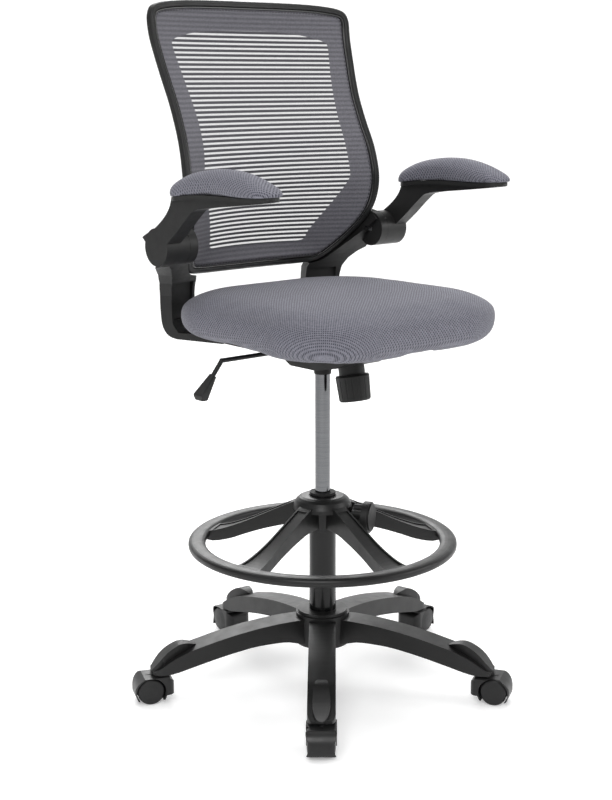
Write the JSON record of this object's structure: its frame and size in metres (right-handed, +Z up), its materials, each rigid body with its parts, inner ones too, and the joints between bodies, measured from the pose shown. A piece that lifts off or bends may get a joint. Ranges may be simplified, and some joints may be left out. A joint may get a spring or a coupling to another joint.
{
  "type": "drafting chair",
  "caption": "Tall swivel drafting chair with mesh back, padded seat, flip-up arms, gas lift, foot ring and a five-leg caster base.",
  "frame": {"origin": "on the floor under the centre of the column", "axes": "+Z up along the column, -Y towards the front of the seat, +X towards the sitter's left"},
  "size_m": [0.6964, 0.6854, 1.257],
  "materials": {
    "base_nylon": "fine moulded texture, satin",
    "caster_nylon": "moulded, satin",
    "black_plastic": "moulded, satin",
    "black_gloss_paint": "gloss black",
    "black_painted_steel": "black powder coat",
    "bright_steel": "ground steel",
    "chrome_cylinder": "ground bright steel",
    "dark_steel": "dark zinc",
    "rubber": "black rubber",
    "grey_fabric": "spacer mesh fabric",
    "back_mesh": "open striped mesh"
  },
  "bodies": {
    "base": {"base_star": "base_nylon", "column_tube": "black_gloss_paint", "guide_bush": "black_plastic", "thrust_race": "bright_steel"},
    "piston": {"piston_rod": "bright_steel", "rod_clip": "dark_steel", "thrust_balls": "bright_steel", "bump_stop": "rubber"},
    "mechanism": {"gas_cylinder": "chrome_cylinder", "rod_boot": "black_plastic", "mechanism_housing": "black_painted_steel", "tension_spring": "dark_steel"},
    "button": {"release_button": "dark_steel"},
    "lock_slide": {"lever_bush": "dark_steel", "lever_pin": "bright_steel"},
    "lever": {"lever_rod": "black_painted_steel", "lever_grip": "black_plastic"},
    "tension_knob": {"tension_knob": "black_plastic", "tension_bolt": "bright_steel"},
    "tension_nut": {"tension_nut": "dark_steel"},
    "seat": {"seat_plate": "dark_steel", "tilt_pin": "bright_steel", "seat_board": "black_plastic", "seat_cushion": "grey_fabric", "seat_bolts": "dark_steel", "side_bracket_right": "black_plastic", "side_bracket_left": "black_plastic", "arm_pivots": "bright_steel", "back_frame": "black_plastic", "back_mesh": "back_mesh", "back_bead": "black_plastic"},
    "arm_right": {"arm_right": "black_plastic", "arm_pad_right": "grey_fabric"},
    "arm_left": {"arm_left": "black_plastic", "arm_pad_left": "grey_fabric"},
    "ring_sleeve": {"ring_sleeve": "black_plastic"},
    "foot_ring": {"foot_ring": "black_plastic"},
    "ring_knob": {"ring_knob": "black_plastic", "ring_stud": "bright_steel"},
    "caster_1": {"caster_hood_1": "caster_nylon", "caster_pins_1": "bright_steel"},
    "wheel_left_1": {"wheel_left_1": "caster_nylon"},
    "wheel_right_1": {"wheel_right_1": "caster_nylon"},
    "caster_2": {"caster_hood_2": "caster_nylon", "caster_pins_2": "bright_steel"},
    "wheel_left_2": {"wheel_left_2": "caster_nylon"},
    "wheel_right_2": {"wheel_right_2": "caster_nylon"},
    "caster_3": {"caster_hood_3": "caster_nylon", "caster_pins_3": "bright_steel"},
    "wheel_left_3": {"wheel_left_3": "caster_nylon"},
    "wheel_right_3": {"wheel_right_3": "caster_nylon"},
    "caster_4": {"caster_hood_4": "caster_nylon", "caster_pins_4": "bright_steel"},
    "wheel_left_4": {"wheel_left_4": "caster_nylon"},
    "wheel_right_4": {"wheel_right_4": "caster_nylon"},
    "caster_5": {"caster_hood_5": "caster_nylon", "caster_pins_5": "bright_steel"},
    "wheel_left_5": {"wheel_left_5": "caster_nylon"},
    "wheel_right_5": {"wheel_right_5": "caster_nylon"}
  },
  "joints": [
    {"name": "seat_swivel", "type": "hinge", "parent": "base", "child": "piston", "pos_m": [0, 0, 0.06], "axis": [0, 0, 1], "continuous": true},
    {"name": "seat_height", "type": "slide", "parent": "piston", "child": "mechanism", "axis": [0, 0, 1], "range_m": [-0.1905, 0]},
    {"name": "release_press", "type": "slide", "parent": "mechanism", "child": "button", "axis": [0, 0, -1], "range_m": [0, 0.0035], "stiffness_N_per_m": 2000, "springref_m": -0.002},
    {"name": "tilt_lock", "type": "slide", "parent": "mechanism", "child": "lock_slide", "axis": [-1, 0, 0], "range_m": [0, 0.012]},
    {"name": "lever_lift", "type": "hinge", "parent": "lock_slide", "child": "lever", "pos_m": [-0.054, 0.01, 0.6435], "axis": [0, 1, 0], "range_deg": [0, 3.5], "stiffness_Nm_per_rad": 6, "springref_deg": -8.59},
    {"name": "tension_turn", "type": "hinge", "parent": "mechanism", "child": "tension_knob", "pos_m": [0, -0.0748, 0.6283], "axis": [0, -0.1822, -0.9833], "range_deg": [-360, 360]},
    {"name": "tension_travel", "type": "slide", "parent": "mechanism", "child": "tension_nut", "axis": [0, -0.1822, -0.9833], "range_m": [-0.0022, 0.0022]},
    {"name": "seat_tilt", "type": "hinge", "parent": "mechanism", "child": "seat", "pos_m": [0, -0.025, 0.639], "axis": [-1, 0, 0], "range_deg": [0, 12], "stiffness_Nm_per_rad": 260, "springref_deg": -20.05},
    {"name": "arm_right_flip", "type": "hinge", "parent": "seat", "child": "arm_right", "pos_m": [-0.261, 0.109, 0.835], "axis": [-1, 0, 0], "range_deg": [0, 90]},
    {"name": "arm_left_flip", "type": "hinge", "parent": "seat", "child": "arm_left", "pos_m": [0.261, 0.109, 0.835], "axis": [-1, 0, 0], "range_deg": [0, 90]},
    {"name": "ring_slide", "type": "slide", "parent": "base", "child": "ring_sleeve", "axis": [0, 0, 1], "range_m": [-0.1, 0]},
    {"name": "ring_turn", "type": "hinge", "parent": "ring_sleeve", "child": "foot_ring", "pos_m": [0, 0, 0.33], "axis": [0, 0, 1], "continuous": true},
    {"name": "ring_knob_turn", "type": "hinge", "parent": "foot_ring", "child": "ring_knob", "pos_m": [0.03, -0.05196, 0.329], "axis": [0.5, -0.866, 0], "range_deg": [-360, 0]},
    {"name": "caster_swivel_1", "type": "hinge", "parent": "base", "child": "caster_1", "pos_m": [-0.20877, -0.23186, 0.065], "axis": [0, 0, 1], "continuous": true},
    {"name": "wheel_left_spin_1", "type": "hinge", "parent": "caster_1", "child": "wheel_left_1", "pos_m": [-0.22349, -0.24821, 0.025], "axis": [0.7431, -0.6691, 0], "continuous": true},
    {"name": "wheel_right_spin_1", "type": "hinge", "parent": "caster_1", "child": "wheel_right_1", "pos_m": [-0.22349, -0.24821, 0.025], "axis": [0.7431, -0.6691, 0], "continuous": true},
    {"name": "caster_swivel_2", "type": "hinge", "parent": "base", "child": "caster_2", "pos_m": [0.156, -0.2702, 0.065], "axis": [0, 0, 1], "continuous": true},
    {"name": "wheel_left_spin_2", "type": "hinge", "parent": "caster_2", "child": "wheel_left_2", "pos_m": [0.167, -0.28925, 0.025], "axis": [0.866, 0.5, 0], "continuous": true},
    {"name": "wheel_right_spin_2", "type": "hinge", "parent": "caster_2", "child": "wheel_right_2", "pos_m": [0.167, -0.28925, 0.025], "axis": [0.866, 0.5, 0], "continuous": true},
    {"name": "caster_swivel_3", "type": "hinge", "parent": "base", "child": "caster_3", "pos_m": [0.30518, 0.06487, 0.065], "axis": [0, 0, 1], "continuous": true},
    {"name": "wheel_left_spin_3", "type": "hinge", "parent": "caster_3", "child": "wheel_left_3", "pos_m": [0.3267, 0.06944, 0.025], "axis": [-0.2079, 0.9781, 0], "continuous": true},
    {"name": "wheel_right_spin_3", "type": "hinge", "parent": "caster_3", "child": "wheel_right_3", "pos_m": [0.3267, 0.06944, 0.025], "axis": [-0.2079, 0.9781, 0], "continuous": true},
    {"name": "caster_swivel_4", "type": "hinge", "parent": "base", "child": "caster_4", "pos_m": [0.03261, 0.31029, 0.065], "axis": [0, 0, 1], "continuous": true},
    {"name": "wheel_left_spin_4", "type": "hinge", "parent": "caster_4", "child": "wheel_left_4", "pos_m": [0.03491, 0.33217, 0.025], "axis": [-0.9945, 0.1045, 0], "continuous": true},
    {"name": "wheel_right_spin_4", "type": "hinge", "parent": "caster_4", "child": "wheel_right_4", "pos_m": [0.03491, 0.33217, 0.025], "axis": [-0.9945, 0.1045, 0], "continuous": true},
    {"name": "caster_swivel_5", "type": "hinge", "parent": "base", "child": "caster_5", "pos_m": [-0.28503, 0.1269, 0.065], "axis": [0, 0, 1], "continuous": true},
    {"name": "wheel_left_spin_5", "type": "hinge", "parent": "caster_5", "child": "wheel_left_5", "pos_m": [-0.30512, 0.13585, 0.025], "axis": [-0.4067, -0.9135, 0], "continuous": true},
    {"name": "wheel_right_spin_5", "type": "hinge", "parent": "caster_5", "child": "wheel_right_5", "pos_m": [-0.30512, 0.13585, 0.025], "axis": [-0.4067, -0.9135, 0], "continuous": true}
  ],
  "couplings": [
    {"joint": "release_press", "follows": "lever_lift", "m_per_rad": 0.0545},
    {"joint": "tension_travel", "follows": "tension_turn", "m_per_rad": 0.00031831}
  ]
}
